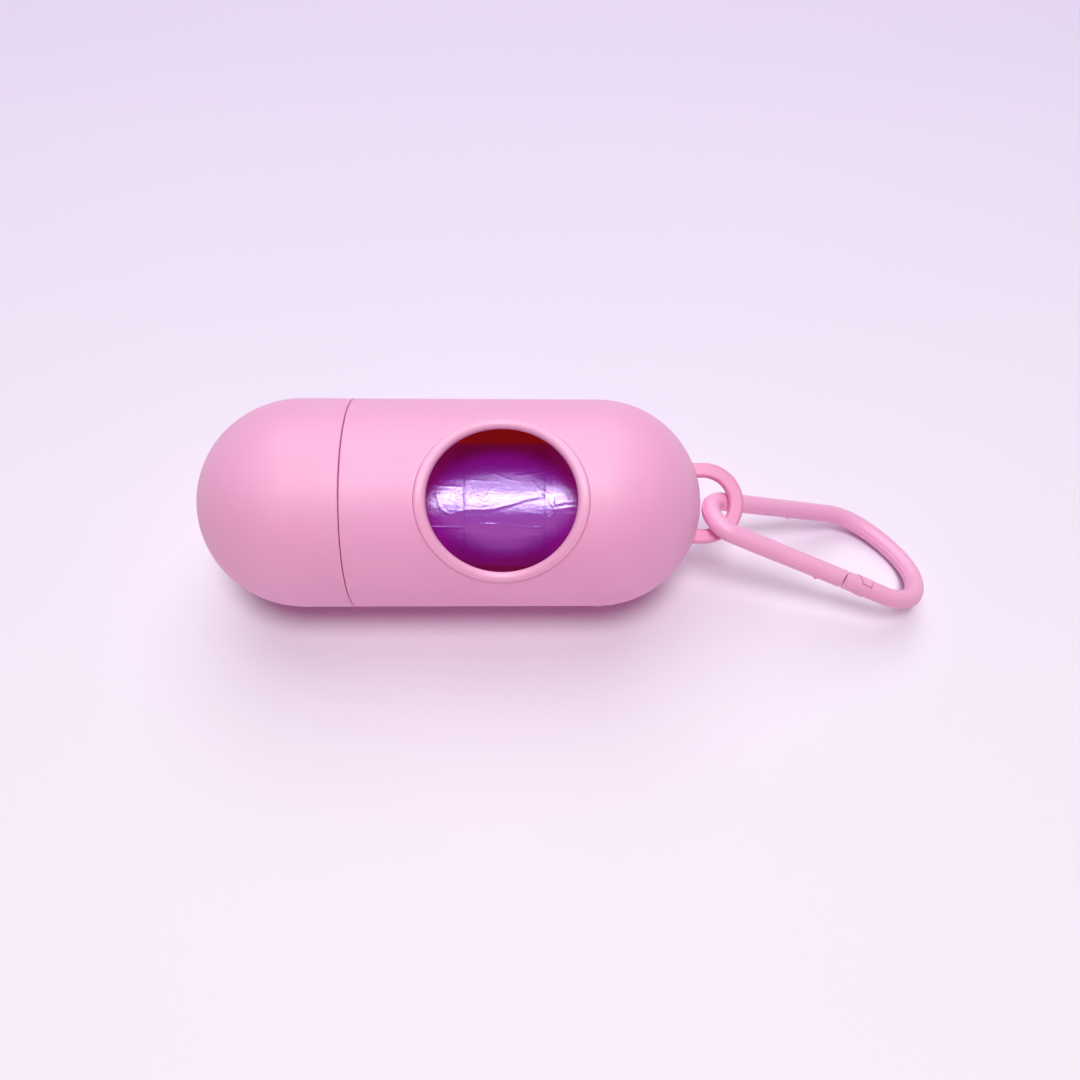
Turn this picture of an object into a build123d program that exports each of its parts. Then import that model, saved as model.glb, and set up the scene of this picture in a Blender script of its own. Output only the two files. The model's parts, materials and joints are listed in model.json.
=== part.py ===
from build123d import *
from math import cos, hypot, pi, radians, sin, sqrt
import os

# A capsule-shaped dispenser for a roll of small bags, lying on a table with its clip leaning on it.
# Everything is made round the capsule's own axis (X) and then set down. +X is the end with the loop
# and the clip, -X is the pull-off cap, +Z is up, and -Y is the side that the window leans towards.

# ---------------------------------------------------------------- driving dimensions, millimetres
capsule_diameter = 38.0
capsule_length = 91.2
shell_wall = 1.9
seam_from_middle = 17.35       # the cap's edge, left of the capsule's middle
seam_gap = 0.14
seam_round = 0.18

neck_length = 9.0              # spigot of the body that the cap is pushed over
neck_wall = 1.35
cap_mouth_wall = 1.5
cap_fit = 0.07                 # radial running clearance of the cap on the neck's bands
band_height = 0.35             # two raised bands on the neck: a guide and the click band
band_width = 1.6
band_slope = 0.4
band_margin = 1.0
groove_depth = 0.25            # click groove in the cap over the outer band
mouth_chamfer = 0.4
shoulder_length = 1.6          # solid step between the neck and the thin shell
shoulder_taper = 1.8

window_from_middle = 9.3
window_length = 25.1           # clear opening along the capsule
window_height = 24.3           # clear opening across it
window_elevation = 59.5        # degrees above the table that the window looks
collar_flange_length = 2.0     # flange width at the ends of the opening
collar_flange_height = 1.8     # flange width at its sides
collar_proud = 0.5
collar_seat = 0.8              # how deep the flange sits in the shell
collar_outer_round = 0.5
collar_inner_round = 0.85
collar_sleeve = 1.1
collar_snap = 0.7              # snap lip behind the wall
collar_snap_depth = 0.9
collar_relief = 0.35           # the sleeve's inside stands back from the flange's edge
collar_edge = 0.5              # height of the flange's straight inner edge, below its rounding
collar_fit = 0.05

loop_outer_radius = 7.5
loop_band = 2.65               # width of the bar in the loop's plane
loop_thickness = 1.95
loop_round = 0.6
loop_reach = 0.9               # centre of the round part, beyond the tip of the dome
loop_elevation = 64.0          # degrees above the table that the loop's flat side looks
loop_fit = 0.05
foot_thickness = 1.5           # plate behind the dome that the loop's legs stand on
foot_margin = 2.0

roll_length = 56.0
roll_radius = 12.2
roll_middle = 2.2              # the roll's middle, right of the capsule's middle
roll_clearance = 0.3           # from the loose edge to the neck's bore, below
core_radius = 7.0
core_wall = 1.1
core_length = 57.4
core_fit = 0.03
film_step = 0.35               # height of the edge where the wound film ends
film_edge_angle = 200.0        # degrees from the far side, over the top
sheet_thickness = 0.2          # the folded film of the first bag, lying loose round the roll
sheet_gap = 0.05
sheet_lift = 0.3               # its free edge stands off by this
sheet_start = 215.0            # degrees from the far side, over the top
sheet_wrap = 318.0             # degrees round the roll
sheet_margin = 0.5             # the first bag's sides lie in from the roll's ends
spiral_arc_turn = 30.0         # degrees that each arc of a spiral covers

rod_diameter = 3.5             # the clip is one bent rod
clip_small_radius = 4.5        # centre line of the rod round the narrow end
clip_spread = 23.5             # degrees between the gate side and the back
clip_corner_radius = 8.85      # round the nose
clip_corner_turn = 130.6
clip_end_radius = 18.2         # round the wide end
clip_end_turn = 30.0
clip_back_radius = 11.0        # round the corner into the back
gate_root = 4.2                # pivot of the gate, from the narrow end's centre
gate_length = 19.4             # pivot to the split at the nose
gate_gap = 0.22
gate_slant = 25.7              # degrees that the split leans, in the clip's plane
gate_tilt = 9.5                # degrees that it leans out of this plane
gate_end_round = 0.3
knuckle_fit = 0.07
tongue_thickness = 1.1
tongue_height = 1.7            # how deep the tongue stands, from the rod's inner side
tongue_sink = 0.15             # its flat top lies below the rod's inner side
hook_start = 3.95              # middle of the gate's hook, past the split
hook_width_inner = 3.5
hook_width_outer = 1.8
hook_proud = 0.12              # its back stands proud of the rod
hook_depth = 2.8               # from the rod's inner side towards its outer side
latch_fit = 0.14
clip_yaw = -13.8               # degrees, how the clip lies on the table
clip_lean = -20.4
crossing_angle = 28.0          # where the clip hangs, round the loop from its far point

# ---------------------------------------------------------------- values worked out from them
outer_r = capsule_diameter / 2
cavity_r = outer_r - shell_wall
half_straight = capsule_length / 2 - outer_r
seam_x = -seam_from_middle
cap_edge_x = seam_x - seam_gap
neck_end_x = seam_x - neck_length
cap_bore_r = outer_r - cap_mouth_wall
band_r = cap_bore_r - cap_fit
neck_r = band_r - band_height
neck_bore_r = neck_r - neck_wall

window_a = window_length / 2
window_b = window_height / 2
flange_a = window_a + collar_flange_length
flange_b = window_b + collar_flange_height
flange_seat_r = outer_r - collar_seat
snap_top_r = cavity_r - collar_fit
snap_low_r = snap_top_r - collar_snap_depth

loop_x = capsule_length / 2 + loop_reach
loop_mid_r = loop_outer_radius - loop_band / 2
foot_outer_r = cavity_r - loop_fit
foot_inner_r = foot_outer_r - foot_thickness

sheet_low_r = roll_radius + sheet_gap
roll_drop = neck_bore_r - roll_clearance - sheet_low_r - sheet_thickness - sheet_lift
rod_r = rod_diameter / 2
gate_v = -clip_small_radius
split_u = gate_root + gate_length
inner_v = gate_v + rod_r

long_cut = 4 * outer_r
rim_tolerance = 0.01
cut_over = 1.0                 # how far a cutting shape runs past what it cuts


# ---------------------------------------------------------------- small helpers
def turned(edges):
    """A solid of revolution about X from the edges of half its section."""
    return revolve(Face(Wire(edges)), Axis.X, 360)


def bar_x(radius, start, end):
    """A round bar along X from start to end."""
    return Pos((start + end) / 2, 0, 0) * Rot(0, 90, 0) * Cylinder(radius, end - start)


def tube_x(inner, outer, start, end):
    return bar_x(outer, start, end) - bar_x(inner, start - cut_over, end + cut_over)


def oval_prism(a, b):
    """The window's oval, pushed out from the capsule's axis past the shell."""
    return extrude(Pos(window_from_middle, 0, 0) * Ellipse(a, b), amount=2 * outer_r)


def quarter_arc(middle, radius, towards):
    """Edge of a dome's section: from the straight side to the tip, to +X or -X."""
    start = (middle, radius)
    between = (middle + towards * radius * sin(pi / 4), radius * cos(pi / 4))
    return ThreePointArc(start, between, (middle + towards * radius, 0))


def runs(points):
    """Straight edges from point to point."""
    return [Line(a, b) for a, b in zip(points, points[1:])]


def rounded_edge(corner, radius, along):
    """Quarter round of a cylinder's outer edge: from its end face to its side, towards -X or +X."""
    x, r = corner
    face_point = (x, r - radius)
    side_point = (x + along * radius, r)
    lean = radius * (1 - sin(pi / 4))
    return ThreePointArc(face_point, (x + along * lean, r - lean), side_point)


# ---------------------------------------------------------------- capsule
def neck_band(end_x):
    """Section points of one raised band, whose left edge is at end_x."""
    return [
        (end_x, neck_r),
        (end_x + band_slope, band_r),
        (end_x + band_width - band_slope, band_r),
        (end_x + band_width, neck_r),
    ]


click_band_x = neck_end_x + band_margin
guide_band_x = seam_x - band_margin - band_width


def body_shell():
    """Hollow body: neck, shoulder, straight shell and round end, open at the window."""
    shoulder_x = seam_x + shoulder_length
    corner = rounded_edge((seam_x, outer_r), seam_round, 1)
    left = [(neck_end_x, neck_bore_r), (neck_end_x, neck_r - mouth_chamfer), (neck_end_x + mouth_chamfer, neck_r)]
    left += neck_band(click_band_x) + neck_band(guide_band_x) + [(seam_x, neck_r), corner @ 0]
    inside = [(shoulder_x + shoulder_taper, cavity_r), (shoulder_x, neck_bore_r), left[0]]
    edges = runs(left) + [corner, Line(corner @ 1, (half_straight, outer_r))]
    edges += [quarter_arc(half_straight, outer_r, 1)]
    edges += [Line((half_straight + outer_r, 0), (half_straight + cavity_r, 0))]
    edges += [quarter_arc(half_straight, cavity_r, 1), Line((half_straight, cavity_r), inside[0])]
    edges += runs(inside)
    shell = turned(edges)
    sleeve_a = window_a + collar_sleeve + collar_fit
    sleeve_b = window_b + collar_sleeve + collar_fit
    shell -= oval_prism(sleeve_a, sleeve_b)
    recess = oval_prism(flange_a + collar_fit, flange_b + collar_fit)
    recess -= bar_x(flange_seat_r, -capsule_length, capsule_length)
    shell -= recess
    return shell - leg_slots()


def cap():
    """Round pull-off cap with a stepped bore and the click groove."""
    bore_end_x = neck_end_x - mouth_chamfer
    groove_x = click_band_x - groove_depth
    groove_end_x = click_band_x + band_width + groove_depth
    corner = rounded_edge((cap_edge_x, outer_r), seam_round, -1)
    groove_r = cap_bore_r + groove_depth
    mouth = (cap_edge_x, cap_bore_r + mouth_chamfer)
    bore = [
        mouth,
        (cap_edge_x - mouth_chamfer, cap_bore_r),
        (groove_end_x, cap_bore_r),
        (groove_end_x - groove_depth, groove_r),
        (groove_x + groove_depth, groove_r),
        (groove_x, cap_bore_r),
        (bore_end_x, cap_bore_r),
        (bore_end_x, cavity_r),
        (-half_straight, cavity_r),
    ]
    edges = [Line(mouth, corner @ 0), corner, Line(corner @ 1, (-half_straight, outer_r))]
    edges += [quarter_arc(-half_straight, outer_r, -1)]
    edges += [Line((-half_straight - outer_r, 0), (-half_straight - cavity_r, 0))]
    edges += [quarter_arc(-half_straight, cavity_r, -1)]
    edges += runs(bore)
    return turned(edges)


def rims_at(shape, radius):
    """Edges that lie on a cylinder of that radius about X."""
    middles = [(edge, edge @ 0.5) for edge in shape.edges()]
    return [edge for edge, point in middles if abs(hypot(point.Y, point.Z) - radius) < rim_tolerance]


def window_collar():
    """Ring round the window: flange let into the shell, sleeve through it and a snap lip behind."""
    start = window_from_middle - flange_a - cut_over
    end = window_from_middle + flange_a + cut_over
    top_r = outer_r + collar_proud
    sleeve = (window_a + collar_sleeve, window_b + collar_sleeve)
    collar = tube_x(flange_seat_r, top_r, start, end) & oval_prism(flange_a, flange_b)
    collar += tube_x(snap_low_r, flange_seat_r, start, end) & oval_prism(*sleeve)
    snap_oval = oval_prism(sleeve[0] + collar_snap, sleeve[1] + collar_snap)
    collar += tube_x(snap_low_r, snap_top_r, start, end) & snap_oval
    collar -= oval_prism(window_a, window_b)
    edge_r = top_r - collar_inner_round - collar_edge
    collar -= oval_prism(window_a + collar_relief, window_b + collar_relief) & bar_x(edge_r, start, end)
    outer_rim = max(rims_at(collar, top_r), key=lambda edge: edge.length)
    collar = fillet(outer_rim, collar_outer_round)
    inner_rim = min(rims_at(collar, top_r), key=lambda edge: edge.length)
    return fillet(inner_rim, collar_inner_round)


# ---------------------------------------------------------------- end loop
def loop_turn():
    """Turn about X that takes the loop from lying flat to its own lean."""
    return Rot(window_elevation - loop_elevation, 0, 0)


def loop_bar(grow):
    """The bent bar of the loop, lying flat, with both legs run into the dome."""
    leg_x = half_straight + sqrt(foot_inner_r**2 - (loop_mid_r + loop_band / 2) ** 2)
    leg = Line((leg_x, loop_mid_r), (loop_x, loop_mid_r))
    bend = JernArc(leg @ 1, leg % 1, loop_mid_r, -180)
    back = Line(bend @ 1, (leg_x, -loop_mid_r))
    path = Wire([leg, bend, back])
    section = RectangleRounded(loop_band + 2 * grow, loop_thickness + 2 * grow, loop_round + grow)
    return sweep(Plane(leg @ 0, x_dir=(0, 1, 0), z_dir=(1, 0, 0)) * section, path)


def leg_slots():
    """Two slots in the dome that the loop's legs pass through."""
    dome = Pos(half_straight, 0, 0) * Sphere(outer_r + cut_over)
    dome -= Pos(half_straight, 0, 0) * Sphere(cavity_r - cut_over)
    return loop_turn() * (loop_bar(loop_fit) & dome)


def end_loop():
    """Half ring on two legs, with the foot plate that holds it behind the dome."""
    foot = Pos(half_straight, 0, 0) * (Sphere(foot_outer_r) - Sphere(foot_inner_r))
    width = 2 * (loop_outer_radius + foot_margin)
    height = loop_thickness + 2 * foot_margin
    outline = Plane(half_straight * Vector(1, 0, 0), x_dir=(0, 1, 0), z_dir=(1, 0, 0))
    outline *= RectangleRounded(width, height, foot_margin)
    foot &= extrude(outline, amount=outer_r)
    return loop_turn() * (loop_bar(0) + foot)


# ---------------------------------------------------------------- bag roll
def roll_place(shape):
    """The roll lies on the neck's bore, below the capsule's axis."""
    return Pos(roll_middle, 0, outer_r - roll_drop) * shape


def spiral_arcs(start_r, growth, start_angle, turn):
    """Edges of a spiral drawn as short arcs, radius growing evenly with the angle."""
    count = round(turn / spiral_arc_turn)
    edges = []
    for i in range(count):
        angles = [start_angle + turn * (i + share) / count for share in (0, 0.5, 1)]
        radii = [start_r + growth * (i + share) / count for share in (0, 0.5, 1)]
        points = [(r * cos(radians(a)), r * sin(radians(a))) for r, a in zip(radii, angles)]
        edges.append(ThreePointArc(*points))
    return edges


def along_x(face, length):
    """Pushes a flat outline along X, centred."""
    return extrude(Plane.YZ * face, amount=length / 2, both=True)


def roll_core():
    section = Circle(core_radius) - Circle(core_radius - core_wall)
    return roll_place(along_x(section, core_length))


def bag_roll():
    """Wound film: round, with the small step where the outermost turn ends."""
    edges = spiral_arcs(roll_radius - film_step, film_step, film_edge_angle, 360)
    edges.append(Line(edges[-1] @ 1, edges[0] @ 0))
    section = Face(Wire(edges)) - Circle(core_radius + core_fit)
    return roll_place(along_x(section, roll_length))


def leading_bag():
    """The first bag: one loose turn of folded film round the roll, its free edge standing off."""
    inner = spiral_arcs(sheet_low_r, sheet_lift, sheet_start, sheet_wrap)
    outer = spiral_arcs(sheet_low_r + sheet_thickness, sheet_lift, sheet_start, sheet_wrap)
    ends = [Line(inner[0] @ 0, outer[0] @ 0), Line(inner[-1] @ 1, outer[-1] @ 1)]
    section = Face(Wire(inner + outer + ends))
    return roll_place(along_x(section, roll_length - 2 * sheet_margin))


# ---------------------------------------------------------------- clip
def clip_path():
    """Centre line of the rod from the split at the nose, round the wide end, to the gate's pivot."""
    spread = radians(clip_spread)
    last_turn = 180 + clip_spread - clip_corner_turn - clip_end_turn
    bends = [
        (clip_corner_radius, clip_corner_turn),
        (clip_end_radius, clip_end_turn),
        (clip_back_radius, last_turn),
    ]
    # walk the three bends from the origin to find how long the straight nose side has to be
    point, heading = Vector(0, gate_v), 0.0
    for radius, turn in bends:
        centre = point + Vector(-sin(heading), cos(heading)) * radius
        heading += radians(turn)
        point = centre + Vector(sin(heading), -cos(heading)) * radius
    back_normal = Vector(-sin(spread), cos(spread))
    nose_side = (point.dot(back_normal) - clip_small_radius) / sin(spread)
    edges = [Line((split_u - rod_r, gate_v), (nose_side, gate_v))]
    for radius, turn in bends:
        edges.append(JernArc(edges[-1] @ 1, edges[-1] % 1, radius, turn))
    edges.append(Line(edges[-1] @ 1, back_normal * clip_small_radius))
    edges.append(JernArc(edges[-1] @ 1, edges[-1] % 1, clip_small_radius, 180 - clip_spread))
    edges.append(Line(edges[-1] @ 1, (gate_root, gate_v)))
    return Wire(edges)


def pivot_post(radius):
    """Round post on the gate's pivot, square to the clip's plane."""
    return Pos(gate_root, gate_v, 0) * Cylinder(radius, 2 * rod_diameter)


def split_block(shift):
    """Everything past the slanted split at the nose, moved along the rod by shift."""
    block = Pos(long_cut / 2, 0, 0) * Box(long_cut, long_cut, long_cut)
    return Pos(split_u + shift, gate_v, 0) * Rot(0, -gate_tilt, -gate_slant) * block


def tongue(grow, top):
    """Thin plate from the gate's end to its hook, in the middle of the rod's thickness."""
    length = hook_start + rod_r + grow
    low = inner_v - tongue_height - grow
    plate = Box(length, top - low, tongue_thickness + 2 * grow, align=(Align.MIN, Align.MIN, Align.CENTER))
    return Pos(split_u - rod_r, low, 0) * plate


def hook_head(grow):
    """Cross bar of the T at the end of the tongue, wider at the rod's inner side."""
    middle = split_u + hook_start
    top = hook_width_inner / 2 + grow
    low = hook_width_outer / 2 + grow
    low_v = inner_v - hook_depth - grow
    outline = Polyline(
        (middle - low, low_v), (middle + low, low_v), (middle + top, inner_v), (middle + top, inner_v + cut_over),
        (middle - top, inner_v + cut_over), (middle - top, inner_v), close=True,
    )
    return extrude(make_face(outline), amount=rod_diameter, both=True)


def straight_rod(start, end):
    return Pos(0, gate_v, 0) * bar_x(rod_r, start, end)


def clip_frame_flat():
    """Nose, wide end, back and narrow end of the clip: one bent rod, slotted for the gate's hook."""
    path = clip_path()
    section = Plane(path @ 0, x_dir=(0, 0, 1), z_dir=path % 0) * Circle(rod_r)
    rod = sweep(section, path)
    keep = split_block(gate_gap)
    gate_side = Pos(gate_root + long_cut / 2, gate_v, 0) * Box(long_cut, rod_diameter + cut_over, rod_diameter + cut_over)
    rod -= gate_side - keep
    rod -= pivot_post(rod_r + knuckle_fit)
    rod -= tongue(latch_fit, inner_v + cut_over)
    return rod - hook_head(latch_fit)


def clip_gate_flat():
    """The gate: a straight rod, round at its root, with a tongue and a T-shaped hook at its end."""
    rod = straight_rod(gate_root - rod_r, split_u + rod_diameter) - split_block(0)
    end_face = rod.faces().sort_by(Axis.X)[-1]
    rod = fillet(end_face.edges(), gate_end_round)
    behind = Pos(gate_root - long_cut / 2, gate_v, 0) * Box(long_cut, long_cut, long_cut)
    rod -= behind - pivot_post(rod_r)
    back = Pos(0, gate_v, 0) * bar_x(rod_r + hook_proud, split_u, split_u + hook_start + hook_width_inner)
    return rod + tongue(0, inner_v - tongue_sink) + (hook_head(0) & back)


def clip_plane(droop):
    """Plane of the clip: its x runs along the gate side, its y towards the back."""
    yaw, down, lean = radians(clip_yaw), radians(droop), radians(clip_lean)
    along = Vector(cos(down) * cos(yaw), cos(down) * sin(yaw), -sin(down))
    level = Vector(-sin(yaw), cos(yaw), 0)
    upright = Vector(cos(yaw) * sin(down), sin(yaw) * sin(down), cos(down))
    across = level * cos(lean) + upright * sin(lean)
    return Plane(crossing_point(), x_dir=along, z_dir=along.cross(across))


def loop_across():
    """Direction in the loop's plane, square to the capsule's axis."""
    tilt = radians(loop_elevation)
    return Vector(0, sin(tilt), cos(tilt))


def crossing_point():
    """Middle of the loop's bar where the clip hangs on it."""
    turn = radians(crossing_angle)
    offset = Vector(1, 0, 0) * cos(turn) - loop_across() * sin(turn)
    return Vector(loop_x, 0, outer_r) + offset * loop_mid_r


def resting_droop():
    """How far the clip dips until its rod touches the table, found by halving."""
    path = clip_path()
    low, high = 0.0, 60.0
    for _ in range(30):
        middle = (low + high) / 2
        placed = clip_plane(middle).location * path
        if placed.bounding_box().min.Z > rod_r:
            low = middle
        else:
            high = middle
    return low


# ---------------------------------------------------------------- the whole, set down on the table
def capsule_place(shape):
    """Turns the window to its side and sets the capsule on the table."""
    return Pos(0, 0, outer_r) * Rot(90 - window_elevation, 0, 0) * shape


def pieces():
    """Every piece in its place, by name, with the capsule's middle over the origin."""
    clip = clip_plane(resting_droop()).location
    return {
        "body_shell": capsule_place(body_shell()),
        "window_collar": capsule_place(window_collar()),
        "end_loop": capsule_place(end_loop()),
        "cap": capsule_place(cap()),
        "roll_core": roll_core(),
        "bag_roll": bag_roll(),
        "leading_bag": leading_bag(),
        "carabiner_frame": clip * clip_frame_flat(),
        "carabiner_gate": clip * clip_gate_flat(),
    }


def main():
    solids = pieces()
    boxes = [shape.bounding_box() for shape in solids.values()]
    middle_x = (min(box.min.X for box in boxes) + max(box.max.X for box in boxes)) / 2
    to_middle = Vector(-middle_x, 0, 0)
    droop = resting_droop()
    clip = clip_plane(droop)
    pivot = clip.from_local_coords(Vector(gate_root, gate_v, 0))
    print("capsule's middle at x =", round(-middle_x, 4))
    print("clip dips", round(droop, 3), "degrees and turns at", crossing_point() + to_middle)
    print("gate turns at", pivot + to_middle, "both on axis", clip.z_dir)
    print("roll turns at z =", round(outer_r - roll_drop, 4))
    os.makedirs("parts", exist_ok=True)
    for name, shape in solids.items():
        export_step(Pos(-middle_x, 0, 0) * shape, f"parts/{name}.step")


main()
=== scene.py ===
import json
import math

import bpy
import numpy as np
from mathutils import Matrix, Vector, noise


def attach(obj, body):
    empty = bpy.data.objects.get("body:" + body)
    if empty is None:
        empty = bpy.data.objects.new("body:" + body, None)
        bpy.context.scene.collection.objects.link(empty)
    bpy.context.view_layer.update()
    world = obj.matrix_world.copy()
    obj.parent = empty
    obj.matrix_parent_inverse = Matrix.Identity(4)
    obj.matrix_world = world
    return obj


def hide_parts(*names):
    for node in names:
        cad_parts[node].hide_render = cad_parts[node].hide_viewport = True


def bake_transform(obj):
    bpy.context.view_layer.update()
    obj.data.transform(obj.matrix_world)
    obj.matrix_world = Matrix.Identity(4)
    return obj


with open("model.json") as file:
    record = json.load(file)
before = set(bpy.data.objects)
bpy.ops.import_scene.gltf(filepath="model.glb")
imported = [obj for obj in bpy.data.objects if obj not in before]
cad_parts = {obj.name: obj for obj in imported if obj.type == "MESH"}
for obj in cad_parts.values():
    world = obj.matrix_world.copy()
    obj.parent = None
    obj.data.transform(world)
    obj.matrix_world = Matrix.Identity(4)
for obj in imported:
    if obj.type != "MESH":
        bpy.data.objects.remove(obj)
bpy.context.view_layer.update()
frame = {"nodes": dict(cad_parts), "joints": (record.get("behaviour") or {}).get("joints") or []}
nodes = frame["nodes"]
bpy.ops.object.select_all(action="DESELECT")

MM = 0.001
MIDDLE_X = -23.4172      # the capsule's middle, mm in the row frame
CAPSULE_R = 19.0
HALF_STRAIGHT = 26.6     # the capsule's straight side, from its middle to a dome
ROLL_Z = 16.32           # the roll's axis
ROLL_MIDDLE = 2.2        # the roll's middle, from the capsule's
WINDOW_MIDDLE = 9.3      # the window's middle, from the capsule's
# the clip's own plane: u runs along the gate, v across it
ROD_R = 1.75
GATE_LINE_V = -4.5       # the gate's rod lies on this line
GATE_ROOT_U = 4.2        # the gate's hinge
SPLIT_U = 23.6           # where the gate ends and the nose begins


def srgb(red, green, blue):
    """A colour given as 0-255 screen values, for a shader socket."""
    def linear(value):
        value /= 255
        return value / 12.92 if value <= 0.04045 else ((value + 0.055) / 1.055) ** 2.4
    return (linear(red), linear(green), linear(blue), 1.0)


# ------------------------------------------------------------------ materials
class Finish:
    """A node material that is built up one node at a time."""

    def __init__(self, name, rough, specular=0.5):
        self.material = bpy.data.materials.new(name)
        self.material.use_nodes = True
        self.tree = self.material.node_tree
        self.shader = self.tree.nodes["Principled BSDF"]
        self.shader.inputs["Roughness"].default_value = rough
        self.shader.inputs["Specular IOR Level"].default_value = specular
        self.place = self.tree.nodes.new("ShaderNodeTexCoord").outputs["Object"]

    def node(self, kind, **values):
        new = self.tree.nodes.new(kind)
        for name, value in values.items():
            setattr(new, name, value)
        return new

    def link(self, source, target):
        self.tree.links.new(source, target)

    def feed(self, target, value):
        """Sets a socket to a plain value, or links another node's output to it."""
        if isinstance(value, (tuple, float, int)):
            target.default_value = value
        else:
            self.link(value, target)

    def noise(self, size_mm, detail=3.0, rough=0.5, stretch=(1, 1, 1)):
        """Noise whose features measure about size_mm."""
        new = self.node("ShaderNodeTexNoise")
        new.inputs["Scale"].default_value = 1.0 / (size_mm * MM)
        new.inputs["Detail"].default_value = detail
        new.inputs["Roughness"].default_value = rough
        source = self.place
        if stretch != (1, 1, 1):
            mapping = self.node("ShaderNodeMapping")
            mapping.inputs["Scale"].default_value = stretch
            self.link(source, mapping.inputs["Vector"])
            source = mapping.outputs["Vector"]
        self.link(source, new.inputs["Vector"])
        return new.outputs["Fac"]

    def cells(self, size_mm):
        """Distance to scattered points that lie about size_mm apart, as a share of that."""
        new = self.node("ShaderNodeTexVoronoi", feature="F1")
        new.inputs["Scale"].default_value = 1.0 / (size_mm * MM)
        self.link(self.place, new.inputs["Vector"])
        return new.outputs["Distance"]

    def math(self, operation, first, second=0.0):
        new = self.node("ShaderNodeMath", operation=operation)
        self.feed(new.inputs[0], first)
        self.feed(new.inputs[1], second)
        return new.outputs[0]

    def spread(self, source, low, high, to_low=0.0, to_high=1.0):
        """Maps a value from low..high to to_low..to_high."""
        new = self.node("ShaderNodeMapRange")
        ends = {"From Min": low, "From Max": high, "To Min": to_low, "To Max": to_high}
        for name, value in ends.items():
            new.inputs[name].default_value = value
        self.link(source, new.inputs["Value"])
        return new.outputs["Result"]

    def mix(self, share, first, second):
        """Mixes two colours; each is a colour value or another node's output."""
        new = self.node("ShaderNodeMix", data_type="RGBA")
        self.feed(new.inputs["Factor"], share)
        self.feed(new.inputs["A"], first)
        self.feed(new.inputs["B"], second)
        return new.outputs["Result"]

    def bump(self, source, depth_mm, strength=1.0, under=None):
        new = self.node("ShaderNodeBump")
        new.inputs["Strength"].default_value = strength
        new.inputs["Distance"].default_value = depth_mm * MM
        self.link(source, new.inputs["Height"])
        if under is not None:
            self.link(under, new.inputs["Normal"])
        return new.outputs["Normal"]

    def glow(self, colour):
        self.link(colour, self.shader.inputs["Emission Color"])
        self.shader.inputs["Emission Strength"].default_value = 1.0

    def axes(self):
        """The place's X, Y and Z apart."""
        new = self.node("ShaderNodeSeparateXYZ")
        self.link(self.place, new.inputs["Vector"])
        return new.outputs["X"], new.outputs["Y"], new.outputs["Z"]

    def from_capsule_axis(self):
        """Distance from the capsule's axis, with its domes, in metres."""
        x, y, z = self.axes()
        along = self.math("SUBTRACT", x, MIDDLE_X * MM)
        past = self.math("SUBTRACT", self.math("ABSOLUTE", along), HALF_STRAIGHT * MM)
        past = self.math("MAXIMUM", past, 0.0)
        high = self.math("SUBTRACT", z, CAPSULE_R * MM)
        squares = [self.math("MULTIPLY", value, value) for value in (past, y, high)]
        return self.math("SQRT", self.math("ADD", self.math("ADD", squares[0], squares[1]), squares[2]))


# painted glow: a faint emission on the wall's inner side and on the film stands in for daylight that
# comes through the pink plastic
NO_GLOW = (0, 0, 0, 1)
PAINTED_WALL_GLOW = srgb(92, 9, 6)
PAINTED_FILM_GLOW = (0.04, 0.001, 0.025, 1.0)
PAINTED_FILM_EDGE_GLOW = (0.12, 0.002, 0.075, 1.0)
INNER_FACE_R = (17.2, 17.7)      # from all inner colour to none, from the capsule's axis
PAST_NECK = (-14.0, -10.0)       # from none to all, from the capsule's middle
FILM_EDGE = (7.5, 12.5)          # from the weak glow to the strong one, from the window's middle


def moulded_plastic(name, colour, deeper, rough, inner=None):
    """Satin moulded plastic: faint cloudiness, a few specks, fine grain and a slight waviness."""
    finish = Finish(name, rough, specular=0.8)
    cloud = finish.spread(finish.noise(14.0, 4.0), 0.35, 0.65)
    shade = finish.mix(cloud, colour, deeper)
    speck = finish.spread(finish.cells(5.5), 0.012, 0.02, 0.35, 0.0)
    shade = finish.mix(speck, shade, srgb(150, 96, 120))
    if inner is not None:
        # painted shade and glow: the wall round the roll, but not the neck under the cap, gets a deep
        # red colour and a faint red emission that stand in for its shade lit by light through the pink
        # plastic
        all_in, none_in = (r * MM for r in INNER_FACE_R)
        within = finish.spread(finish.from_capsule_axis(), all_in, none_in, 1.0, 0.0)
        starts, whole = ((MIDDLE_X + x) * MM for x in PAST_NECK)
        within = finish.math("MULTIPLY", within, finish.spread(finish.axes()[0], starts, whole))
        shade = finish.mix(within, shade, inner)
        finish.glow(finish.mix(within, NO_GLOW, PAINTED_WALL_GLOW))
    finish.link(shade, finish.shader.inputs["Base Color"])
    grain = finish.noise(0.22, 2.0)
    uneven = finish.spread(grain, 0.3, 0.7, rough - 0.05, rough + 0.05)
    finish.link(uneven, finish.shader.inputs["Roughness"])
    wave = finish.bump(finish.noise(4.5, 1.0), 0.02, 0.5)
    finish.link(finish.bump(grain, 0.004, 0.6, wave), finish.shader.inputs["Normal"])
    return finish


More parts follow.
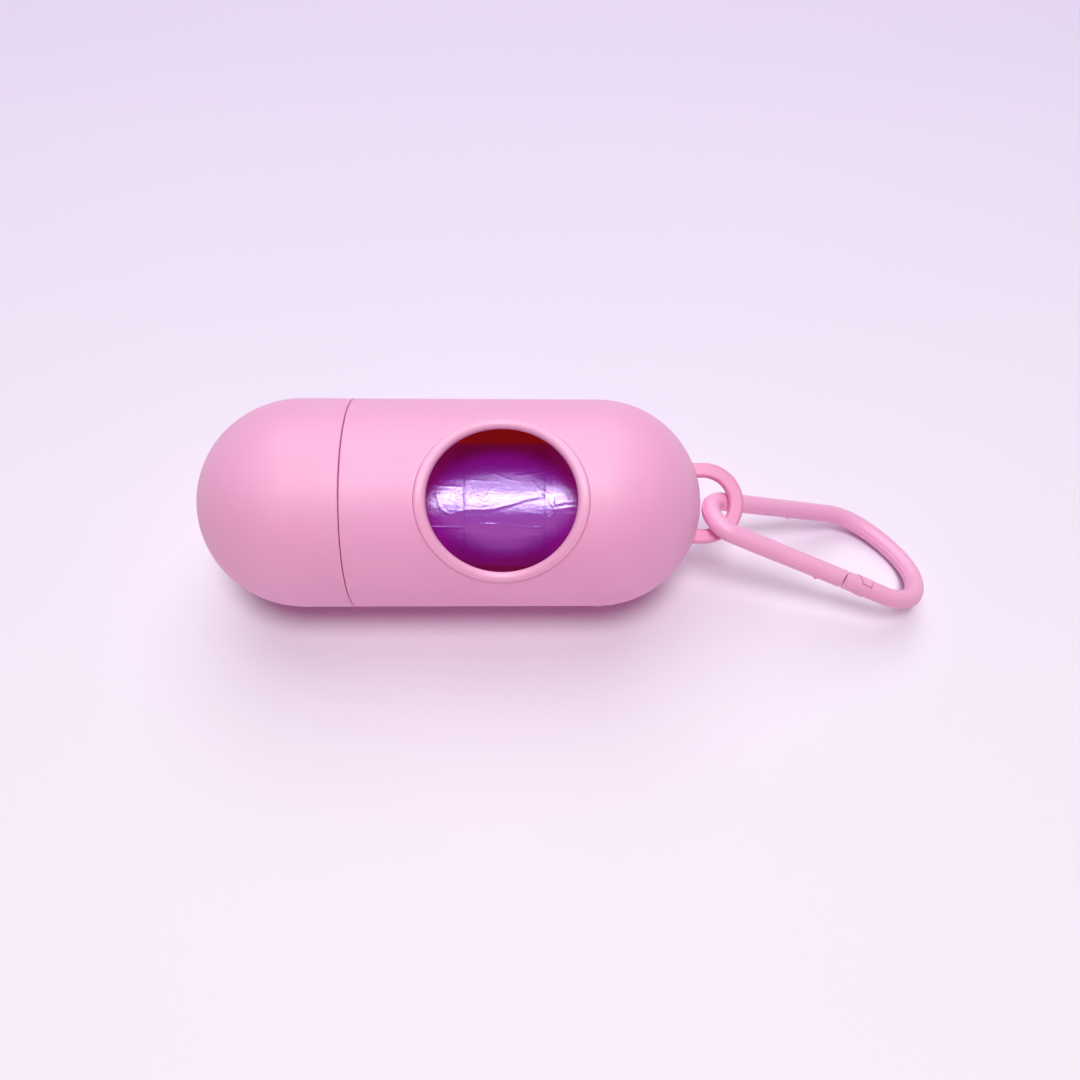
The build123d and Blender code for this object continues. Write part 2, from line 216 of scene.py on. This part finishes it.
def wound_film_finish(name, colour, deeper):
    """Thin glossy film: soft colour cloudiness and fine wrinkles that run mostly along the roll."""
    finish = Finish(name, 0.42, specular=1.0)
    finish.shader.inputs["IOR"].default_value = 1.8
    finish.shader.inputs["Specular Tint"].default_value = (0.35, 0.16, 1.0, 1.0)
    cloud = finish.spread(finish.noise(3.0, 3.0, 0.5, (0.4, 1, 1)), 0.35, 0.65)
    finish.link(finish.mix(cloud, colour, deeper), finish.shader.inputs["Base Color"])
    # painted glow: the film gets a faint emission, most towards the window's two ends, where the wall
    # covers it, that stands in for light through the pink plastic
    off_window = finish.math("SUBTRACT", finish.axes()[0], (MIDDLE_X + WINDOW_MIDDLE) * MM)
    off_window = finish.math("ABSOLUTE", off_window)
    starts, whole = (x * MM for x in FILM_EDGE)
    finish.glow(finish.mix(finish.spread(off_window, starts, whole), PAINTED_FILM_GLOW, PAINTED_FILM_EDGE_GLOW))
    finish.shader.inputs["Coat Weight"].default_value = 1.0
    finish.shader.inputs["Coat Roughness"].default_value = 0.2
    finish.shader.inputs["Coat IOR"].default_value = 1.92
    wrinkle = finish.bump(finish.noise(1.6, 3.0, 0.6, (0.35, 1, 1)), 0.09, 0.5)
    crinkle = finish.bump(finish.noise(0.4, 3.0, 0.7, (0.6, 1, 1)), 0.06, 0.9, wrinkle)
    finish.link(wrinkle, finish.shader.inputs["Normal"])
    finish.link(crinkle, finish.shader.inputs["Coat Normal"])
    return finish


CARD_STRIP = 22.0        # width of the card strip that the core is wound from


def wound_card_finish(name, colour, deeper):
    """Grey-brown card in a tube: pulp flecks, and the joint of its strip running round in a spiral."""
    finish = Finish(name, 0.85, specular=0.25)
    pulp = finish.spread(finish.noise(0.9, 5.0, 0.65, (0.5, 1, 1)), 0.35, 0.65)
    shade = finish.mix(pulp, colour, deeper)
    fleck = finish.spread(finish.cells(1.3), 0.05, 0.12, 0.5, 0.0)
    shade = finish.mix(fleck, shade, srgb(112, 84, 58))
    x, y, z = finish.axes()
    round_share = finish.math("ARCTAN2", finish.math("SUBTRACT", z, ROLL_Z * MM), y)
    round_share = finish.math("MULTIPLY", round_share, 1 / (2 * math.pi))
    along = finish.math("ADD", finish.math("MULTIPLY", x, 1 / (CARD_STRIP * MM)), round_share)
    joint = finish.spread(finish.math("PINGPONG", along, 0.5), 0.0, 0.012)
    shade = finish.mix(joint, srgb(120, 92, 66), shade)
    finish.link(shade, finish.shader.inputs["Base Color"])
    fibres = finish.bump(finish.noise(0.3, 4.0, 0.7, (0.4, 1, 1)), 0.05, 0.6)
    finish.link(finish.bump(joint, 0.1, 0.8, fibres), finish.shader.inputs["Normal"])
    return finish


def dress(obj, finish):
    obj.data.materials.clear()
    obj.data.materials.append(finish.material)


# painted shade: this deep red stands in for the inner wall's shade, lit red by light through the pink
# plastic
painted_inner_red = srgb(205, 70, 70)
shell_plastic = moulded_plastic(
    "shell_pink_plastic", srgb(250, 181, 221), srgb(248, 175, 217), 0.5, painted_inner_red,
)
cap_plastic = moulded_plastic("cap_pink_plastic", srgb(249, 181, 220), srgb(247, 176, 216), 0.5)
# painted light: the collar's pink is a little lighter than the shell's, to offset the shade in its
# rounded inner edge
collar_plastic = moulded_plastic("collar_pink_plastic", srgb(252, 186, 223), srgb(250, 181, 219), 0.46)
loop_plastic = moulded_plastic("loop_pink_plastic", srgb(237, 156, 197), srgb(234, 151, 193), 0.46)
clip_plastic = moulded_plastic("clip_pink_plastic", srgb(250, 180, 219), srgb(247, 175, 215), 0.46)
film = wound_film_finish("film_purple", srgb(127, 6, 158), srgb(116, 4, 147))
card = wound_card_finish("core_card", srgb(190, 162, 126), srgb(172, 142, 106))

dress(nodes["body_shell"], shell_plastic)
dress(nodes["cap"], cap_plastic)
dress(nodes["window_collar"], collar_plastic)
dress(nodes["end_loop"], loop_plastic)
dress(nodes["carabiner_frame"], clip_plastic)
dress(nodes["carabiner_gate"], clip_plastic)
dress(nodes["roll_core"], card)


# ------------------------------------------------------------------ mesh helpers
def places(obj):
    """The vertices of an object as an array of points, in mm."""
    found = np.empty(len(obj.data.vertices) * 3)
    obj.data.vertices.foreach_get("co", found)
    return found.reshape(-1, 3) / MM


def put_places(obj, points):
    obj.data.vertices.foreach_set("co", (points * MM).ravel())
    obj.data.update()


def only(obj):
    """Makes one object the only one that operators act on."""
    bpy.ops.object.select_all(action="DESELECT")
    obj.select_set(True)
    bpy.context.view_layer.objects.active = obj


def finish_piece(obj, finish, body, angle=math.radians(40)):
    """Place and turn go into the mesh, then the piece gets its finish and its body."""
    only(obj)
    bpy.ops.object.transform_apply(location=True, rotation=True, scale=True)
    bpy.ops.object.shade_smooth_by_angle(angle=angle)
    dress(obj, finish)
    if body is not None:
        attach(obj, body)
    obj.select_set(False)
    return obj


def close_shell(obj):
    """Merges a piece's doubled seams and turns its faces outward."""
    only(obj)
    bpy.ops.object.mode_set(mode="EDIT")
    bpy.ops.mesh.select_all(action="SELECT")
    bpy.ops.mesh.remove_doubles(threshold=0.001 * MM)
    bpy.ops.mesh.normals_make_consistent(inside=False)
    bpy.ops.object.mode_set(mode="OBJECT")


# ------------------------------------------------------------------ the bag film
FILM_WIDTH = 55.0
SHEET_LOW_R = 12.25      # inner face of the first bag where its turn begins
SHEET_LIFT = 0.3
SHEET_THICKNESS = 0.2
SHEET_START = 215.0      # degrees from the far side, over the top
SHEET_WRAP = 318.0       # degrees of its turn
WINDOW_SHOWS = (84.0, 153.0)     # degrees of the film that the window shows
CREASE_R = 12.6          # creases are placed by angle on this radius


def graded(stops, counts):
    """Values between the stops, with so many steps in each stretch."""
    runs = [np.linspace(a, b, n, endpoint=False) for a, b, n in zip(stops, stops[1:], counts)]
    return np.concatenate(runs + [np.array(stops[-1:])])


def grid_piece(name, columns, rows):
    """A flat grid with one vertex for each pair of column and row values; gives it and these pairs."""
    across, along = len(columns) - 1, len(rows) - 1
    bpy.ops.mesh.primitive_grid_add(x_subdivisions=across, y_subdivisions=along, size=2)
    obj = bpy.context.object
    obj.name = name
    flat = places(obj) * MM
    column = columns[np.rint((flat[:, 0] + 1) / 2 * across).astype(int)]
    row = rows[np.rint((flat[:, 1] + 1) / 2 * along).astype(int)]
    return obj, column, row


def from_line(across, along, line):
    """Distance from each point to a line of (x mm, angle) points, in mm on the film."""
    found = np.full(len(across), 1e9)
    points = [(x, math.radians(angle) * CREASE_R) for x, angle in line]
    for (ax, ay), (bx, by) in zip(points, points[1:]):
        dx, dy = bx - ax, by - ay
        share = ((across - ax) * dx + (along - ay) * dy) / (dx * dx + dy * dy)
        share = np.clip(share, 0, 1)
        found = np.minimum(found, np.hypot(across - ax - share * dx, along - ay - share * dy))
    return found


def ridge(across, along, line, height, width):
    """A pinched crease: steep at its top and run out softly."""
    away = np.clip(1 - from_line(across, along, line) / width, 0, 1)
    return height * away**1.6


def soft_step(values):
    values = np.clip(values, 0, 1)
    return values * values * (3 - 2 * values)


def ledge(across, along, line, height, width, reach):
    """The film drops past a line that runs across the roll, and climbs back over the reach."""
    xs = [x for x, _ in line]
    ys = [math.radians(angle) * CREASE_R for _, angle in line]
    past = along - np.interp(across, xs, ys)
    ends = soft_step((across - xs[0]) / 1.5 + 0.5) * soft_step((xs[-1] - across) / 1.5 + 0.5)
    return height * ends * (soft_step(1 + past / reach) - soft_step(past / width))


# creases where the window shows the film: (mm from the capsule's middle, degrees from the far side)
FINE_CREASES = (
    (((-3, 101), (2.2, 103)), 0.05, 0.7),
    (((-2.2, 108), (-1.3, 121), (0.4, 125), (2, 122)), 0.06, 0.45),
    (((7.7, 91), (10.8, 97), (12.4, 98)), 0.06, 0.4),
    (((12.1, 93), (17.7, 88), (19.5, 85)), 0.07, 0.5),
    (((3.5, 97), (8.8, 98)), 0.05, 0.6),
    (((14.4, 98), (16.1, 107)), 0.06, 0.35),
    (((11, 102), (10.6, 108)), 0.04, 0.35),
    (((16.2, 105), (17.4, 109), (18, 106)), 0.07, 0.35),
    (((17.2, 112), (18.4, 121), (18.3, 124), (17.2, 127)), 0.07, 0.35),
    (((-3, 135), (2.6, 135)), 0.12, 0.5),
    (((5.3, 132), (9.9, 133), (12.8, 135), (16.1, 135)), 0.12, 0.5),
    (((9.7, 150), (10.8, 145)), 0.04, 0.4),
    (((12.8, 147), (15, 140)), 0.04, 0.4),
    (((4, 108), (6, 113)), 0.04, 0.5),
    (((7.5, 104), (6.6, 110)), 0.04, 0.5),
)


def film_relief(across, along):
    """How far the first bag stands up or down from its plain round, mm."""
    relief = np.zeros(len(across))
    for line, height, width in FINE_CREASES:
        relief += ridge(across, along, line, 0.8 * height, 0.6 * width)
    wavy = ((1.5, 123), (3.1, 121), (5.9, 121), (7.9, 120), (10.6, 117), (13.2, 113), (16.4, 110))
    relief += ledge(across, along, wavy, 0.05, 0.7, 3.0)
    relief += ridge(across, along, wavy, 0.04, 0.3)
    right = ((18.2, 117), (20.1, 115), (27, 115))
    relief += ledge(across, along, right, 0.08, 0.6, 1.6)
    low_right = ((18, 121), (21, 119), (27, 119))
    relief += ridge(across, along, low_right, 0.06, 0.6)
    # folds of the layers below run round the whole roll
    relief += 0.035 * soft_step((across - 2.5) / 0.4)
    relief -= 0.03 * soft_step((across - 16.5) / 0.35)
    relief += 0.03 * soft_step((across - 18.2) / 0.35)
    relief += 0.05 * soft_step((-9.8 - across) / 0.4)
    return relief


def wander(across, along, size, seed):
    """Smooth unevenness between -1 and 1."""
    return np.array([noise.noise((a / size, b / size, seed)) for a, b in zip(across * 0.45, along)])


def first_bag():
    """The loose outer turn of film, creased, with a torn perforation along its free edge."""
    left = -FILM_WIDTH / 2 + ROLL_MIDDLE
    right = FILM_WIDTH / 2 + ROLL_MIDDLE
    columns = graded([left, -4.5, 23.0, right], [14, 150, 5])
    first = SHEET_START - 360
    rows = graded([first, *WINDOW_SHOWS, first + SHEET_WRAP], [52, 84, 10])
    obj, across, angle = grid_piece("first_bag", columns, rows)
    along = np.radians(angle) * CREASE_R
    turned = (angle - first) / SHEET_WRAP
    radius = SHEET_LOW_R + SHEET_LIFT * turned + SHEET_THICKNESS
    fade = soft_step((angle - first) / 12)
    relief = film_relief(across, along) + 0.04 * wander(across, along, 2.6, 3.0)
    relief += 0.012 * wander(across, along, 0.8, 9.0)
    relief += 0.006 * wander(0.3 * across, along, 0.5, 21.0)
    radius = radius + fade * (relief - 0.06)
    x = across + MIDDLE_X
    turn = np.radians(angle)
    # the free edge is torn along its perforation
    torn = angle >= rows[-1] - 0.01
    turn = turn + torn * np.where((np.rint(across * 2.0) % 2) > 0, 0.012, -0.012)
    put_places(obj, np.stack([x, radius * np.cos(turn), ROLL_Z + radius * np.sin(turn)], axis=1))
    middle = obj.data.polygons[len(obj.data.polygons) // 2]
    outward = Vector((0, middle.center.y, middle.center.z - ROLL_Z * MM))
    if middle.normal.dot(outward) < 0:
        obj.data.flip_normals()
    solid = obj.modifiers.new("film_thickness", "SOLIDIFY")
    solid.thickness = SHEET_THICKNESS * MM
    solid.offset = -1.0
    bpy.ops.object.modifier_apply(modifier=solid.name)
    finish_piece(obj, film, "roll", math.radians(60))
    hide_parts("leading_bag")
    return obj


WOUND_R = 12.2
WOUND_STEP = 0.35        # height of the edge where the wound film ends
WOUND_EDGE_ANGLE = 200.0
WOUND_HALF = 28.0
BORE_R = 7.03
LAYER_PITCH = 0.75       # layers that show as one ring of the spiral on the roll's ends


def wound_film():
    """The wound film under the first bag: spiral layers on its ends, and the step where it ends."""
    radii = np.linspace(BORE_R, WOUND_R, 41)
    width = np.linspace(-WOUND_HALF, WOUND_HALF, 24)
    profile = [(-WOUND_HALF, r) for r in radii] + [(x, WOUND_R) for x in width[1:]]
    profile += [(WOUND_HALF, r) for r in radii[::-1][1:]] + [(x, BORE_R) for x in width[::-4][1:-1]]
    profile = np.array(profile + profile[:1])
    angles = graded([0.0, 1.5, 360.0], [1, 128])
    obj, which, turned = grid_piece("wound_film", np.arange(len(profile), dtype=float), angles)
    x, radius = profile[which.astype(int)].T
    outer = soft_step((radius - WOUND_R + 1.0) / 1.0)
    # the turn starts just past the step, so the step lies between the first two rows
    turn_share = np.where(turned < 1.0, 1.0, (turned - 1.5) / 358.5)
    grown = radius - WOUND_STEP * outer * (1 - turn_share)
    on_end = (np.abs(x) > WOUND_HALF - 0.01) & (radius > BORE_R + 0.05) & (radius < WOUND_R - 0.05)
    wave = np.sin(2 * math.pi * (radius / LAYER_PITCH - turned / 360))
    around = np.radians(turned)
    ragged = wander(9 * radius * np.cos(around), 4 * radius * np.sin(around), 5.0, 4.0)
    x = x + np.sign(x) * np.where(on_end, 0.1 * wave + 0.12 * ragged - 0.22, 0.0)
    x = x + MIDDLE_X + ROLL_MIDDLE
    turn = np.radians(turned + WOUND_EDGE_ANGLE)
    put_places(obj, np.stack([x, grown * np.cos(turn), ROLL_Z + grown * np.sin(turn)], axis=1))
    close_shell(obj)
    finish_piece(obj, film, "roll", math.radians(50))
    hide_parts("bag_roll")
    return obj


# ------------------------------------------------------------------ moulding marks
def clip_directions():
    """Where the clip's own plane lies, from its two joints: origin, u, v and the way out of it."""
    joints = {joint["name"]: joint for joint in frame["joints"]}
    swing, gate = joints["carabiner_swing"], joints["gate_open"]
    out = Vector(swing["axis"]).normalized()
    to_gate = Vector(gate["pos_m"]) - Vector(swing["pos_m"])
    along = Matrix.Rotation(math.atan2(-GATE_LINE_V, GATE_ROOT_U), 3, out) @ to_gate.normalized()
    return Vector(swing["pos_m"]), along, out.cross(along), out


clip_origin, clip_u, clip_v, clip_n = clip_directions()


def on_clip(u, v, n=0.0):
    """A point of the clip's own plane, in the row frame."""
    return clip_origin + (clip_u * u + clip_v * v + clip_n * n) * MM


def gate_root_skin():
    """Skin of the bending root, where gate and frame run on into each other as one moulding."""
    start, end, steps = 1.2, 9.5, 42
    bpy.ops.mesh.primitive_circle_add(
        vertices=48, radius=(ROD_R + 0.02) * MM, fill_type="NGON", location=on_clip(start, GATE_LINE_V),
        rotation=clip_u.to_track_quat("Z", "Y").to_euler(),
    )
    obj = bpy.context.object
    obj.name = "gate_root_skin"
    bpy.ops.object.mode_set(mode="EDIT")
    bpy.ops.mesh.select_all(action="SELECT")
    stride = clip_u * (end - start) / steps * MM
    for _ in range(steps):
        bpy.ops.mesh.extrude_region_move(TRANSFORM_OT_translate={"value": stride})
    bpy.ops.object.mode_set(mode="OBJECT")
    close_shell(obj)
    # the skin is short and has no body; at rest the gate's own rod stays inside it
    finish_piece(obj, clip_plastic, None)
    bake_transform(obj)
    return obj


LINE_R = 0.11            # half the parting line's width


def parting_line(name, node, body, cuts, keep):
    """Fine raised line where the mould's halves met, round the middle of a clip piece."""
    obj = nodes[node].copy()
    obj.data = obj.data.copy()
    obj.name = name
    obj.parent = None
    bpy.context.collection.objects.link(obj)
    only(obj)
    bpy.ops.object.mode_set(mode="EDIT")
    bpy.ops.mesh.select_all(action="SELECT")
    bpy.ops.mesh.remove_doubles(threshold=0.001 * MM)
    for cut in cuts:
        bpy.ops.mesh.select_all(action="SELECT")
        bpy.ops.mesh.bisect(plane_co=on_clip(cut, 0), plane_no=clip_u)
    bpy.ops.mesh.select_all(action="SELECT")
    bpy.ops.mesh.bisect(plane_co=clip_origin, plane_no=clip_n, clear_inner=True, clear_outer=True)
    bpy.ops.object.mode_set(mode="OBJECT")
    for part in (*obj.data.polygons, *obj.data.edges):
        part.select = False
    for vertex in obj.data.vertices:
        away = vertex.co - clip_origin
        vertex.select = not keep(away.dot(clip_u) / MM, away.dot(clip_v) / MM)
    bpy.ops.object.mode_set(mode="EDIT")
    bpy.ops.mesh.delete(type="VERT")
    bpy.ops.object.mode_set(mode="OBJECT")
    bpy.ops.object.convert(target="CURVE")
    obj.data.bevel_depth = LINE_R * MM
    obj.data.bevel_resolution = 1
    obj.data.use_fill_caps = True
    bpy.ops.object.convert(target="MESH")
    for vertex in obj.data.vertices:
        vertex.co += clip_n * noise.noise(vertex.co / (1.3 * MM)) * 0.05 * MM
    finish_piece(obj, clip_plastic, body)
    return obj


def moulding_pip(name, at, out, radius, height, finish, body):
    """Small low pip where a sprue was cut off, or where some flash was left."""
    out = Vector(out).normalized()
    bpy.ops.mesh.primitive_uv_sphere_add(
        segments=24, ring_count=12, radius=radius * MM, location=Vector(at) * MM,
        rotation=out.to_track_quat("Z", "Y").to_euler(), scale=(1, 1, height / radius),
    )
    obj = bpy.context.object
    obj.name = name
    return finish_piece(obj, finish, body)


first_bag()
wound_film()
gate_root_skin()
NOSE_LINE_START = SPLIT_U + 0.9
NOSE_SOCKET_END = SPLIT_U + 8.0
GATE_LINE_START = 9.0
GATE_LINE_END = SPLIT_U - 0.6
NEAR = 0.01              # slack for vertices that lie right on a cut


def on_frame_line(u, v):
    """The frame's parting line: its far side, the nose past its socket, and the socket's outer side."""
    outer_side = u > NOSE_LINE_START - NEAR and v < GATE_LINE_V - 1.2
    return v > GATE_LINE_V + 2.2 or u > NOSE_SOCKET_END - NEAR or outer_side


def on_gate_line(u, _):
    return GATE_LINE_START - NEAR < u < GATE_LINE_END + NEAR


parting_line(
    "clip_parting_line", "carabiner_frame", "carabiner",
    np.linspace(NOSE_LINE_START, NOSE_SOCKET_END, 9), on_frame_line,
)
parting_line(
    "gate_parting_line", "carabiner_gate", "gate",
    np.linspace(GATE_LINE_START, GATE_LINE_END, 24), on_gate_line,
)
# where each lies (mm), which way it stands, its radius and height (mm)
moulding_pip(
    "shell_sprue_nub", (3.51, -17.12, 10.76), (0.017, -0.901, -0.434), 0.45, 0.2,
    shell_plastic, "shell",
)
moulding_pip(
    "loop_sprue_nub", (24.12, 6.67, 22.26), (0.139, 0.89, 0.434), 0.4, 0.12,
    loop_plastic, "shell",
)
moulding_pip(
    "gate_flash_pip", (44.01, -12.28, 12.55), (-0.37, -0.75, -0.54), 0.45, 0.25,
    clip_plastic, "gate",
)
moulding_pip(
    "clip_flash_pip", (42.17, 3.03, 8.82), (-0.13, -0.8, -0.59), 0.4, 0.2,
    clip_plastic, "carabiner",
)

# ------------------------------------------------------------------ floor, light and camera
ROOM_COLOUR = srgb(243, 234, 249)        # what the camera sees past the floor
FILL_COLOUR = srgb(255, 226, 246)
ROOM_FILL = 0.06         # its strength as light on the object
ROOM_SEEN = 0.94         # what is added for the camera
ROOM_MIRRORED = 0.35     # the share of that which reflections see
FLOOR_FADES = (0.29, 0.55)       # metres from the origin, from floor to room
FLOOR_NEAR_Y, FLOOR_FAR_Y = -0.12, 0.2   # metres, from its brighter shade to its darker one

bpy.ops.object.select_all(action="DESELECT")
bpy.ops.mesh.primitive_plane_add(size=6.0, location=(0, 0, 0))
floor = bpy.context.object
floor.name = "floor"
floor_finish = Finish("floor_pale", 0.6, specular=0.0)
# painted shade: the paper's colour darkens away from the camera, standing in for the lamps' falloff
away = floor_finish.spread(floor_finish.axes()[1], FLOOR_NEAR_Y, FLOOR_FAR_Y)
painted_falloff_paper = floor_finish.mix(away, srgb(251, 248, 255), srgb(232, 220, 246))
floor_finish.link(painted_falloff_paper, floor_finish.shader.inputs["Base Color"])
# far off, where the lamps fade, the camera sees the floor run on into the pale room
reach = floor_finish.node("ShaderNodeVectorMath", operation="LENGTH")
floor_finish.link(floor_finish.place, reach.inputs[0])
far = floor_finish.spread(reach.outputs["Value"], *FLOOR_FADES)
seen_by_camera = floor_finish.node("ShaderNodeLightPath").outputs["Is Camera Ray"]
far = floor_finish.math("MULTIPLY", far, seen_by_camera)
room_shine = floor_finish.node("ShaderNodeEmission")
room_shine.inputs["Color"].default_value = ROOM_COLOUR
surface = floor_finish.node("ShaderNodeMixShader")
floor_finish.link(far, surface.inputs[0])
floor_finish.link(floor_finish.shader.outputs[0], surface.inputs[1])
floor_finish.link(room_shine.outputs[0], surface.inputs[2])
material_output = floor_finish.tree.nodes["Material Output"]
floor_finish.link(surface.outputs[0], material_output.inputs["Surface"])
dress(floor, floor_finish)


def area_light(name, at, aim, size, power, colour=(1, 1, 1)):
    data = bpy.data.lights.new(name, "AREA")
    data.shape = "DISK"
    data.size = size
    data.energy = power
    data.color = colour
    lamp = bpy.data.objects.new(name, data)
    bpy.context.collection.objects.link(lamp)
    lamp.location = at
    lamp.rotation_euler = (Vector(aim) - Vector(at)).to_track_quat("-Z", "Y").to_euler()
    return lamp


area_light("main_softbox", (0.0, -0.225, 1.15), (0, 0, 0), 0.44, 7.1)
area_light("rear_softbox", (0.0, 0.55, 0.96), (0, 0, 0), 1.1, 7.0)
area_light("front_bounce", (0.0, -1.1, 0.5), (0, 0, 0), 0.9, 1.9, (1.0, 0.3, 0.52))

world = bpy.data.worlds.new("room")
bpy.context.scene.world = world
world.use_nodes = True
# the camera and reflections see a pale room; as light on the object it is only a weak fill
world_nodes = world.node_tree.nodes
background = world_nodes["Background"]
ray = world_nodes.new("ShaderNodeLightPath")


def world_math(operation, *constants):
    """A math node whose inputs from the second on are set."""
    new = world_nodes.new("ShaderNodeMath")
    new.operation = operation
    for place, value in enumerate(constants, start=1):
        new.inputs[place].default_value = value
    return new


strength = world_math("MULTIPLY_ADD", ROOM_SEEN, ROOM_FILL)
seen = world_math("MAXIMUM")
mirrored = world_math("MULTIPLY", ROOM_MIRRORED)
either = world_math("MAXIMUM")
shade = world_nodes.new("ShaderNodeMix")
shade.data_type = "RGBA"
shade.inputs["A"].default_value = FILL_COLOUR
shade.inputs["B"].default_value = ROOM_COLOUR
for source, target in (
    (ray.outputs["Is Camera Ray"], shade.inputs["Factor"]),
    (shade.outputs["Result"], background.inputs["Color"]),
    (ray.outputs["Is Glossy Ray"], either.inputs[0]),
    (ray.outputs["Is Transmission Ray"], either.inputs[1]),
    (either.outputs[0], mirrored.inputs[0]),
    (ray.outputs["Is Camera Ray"], seen.inputs[0]),
    (mirrored.outputs[0], seen.inputs[1]),
    (seen.outputs[0], strength.inputs[0]),
    (strength.outputs[0], background.inputs["Strength"]),
):
    world.node_tree.links.new(source, target)

# the camera that the photo was fitted with
CAMERA_AT = ((10.83 + MIDDLE_X) * MM, -89.03 * MM, 159.84 * MM)
CAMERA_LOOK = (0.032, 0.499, -0.866)
CAMERA_RIGHT = (0.9995, -0.0164, 0.0277)
camera_data = bpy.data.cameras.new("camera")
camera_data.lens = 30.0
camera_data.sensor_width = 36.0
camera_data.clip_start = 0.01
camera = bpy.data.objects.new("camera", camera_data)
bpy.context.collection.objects.link(camera)
look = Vector(CAMERA_LOOK).normalized()
right = Vector(CAMERA_RIGHT)
right = (right - look * right.dot(look)).normalized()
up = right.cross(look)
turned = Matrix((right, up, -look)).transposed().to_4x4()
camera.matrix_world = Matrix.Translation(CAMERA_AT) @ turned
bpy.context.scene.camera = camera
bpy.context.scene.view_settings.view_transform = "Standard"
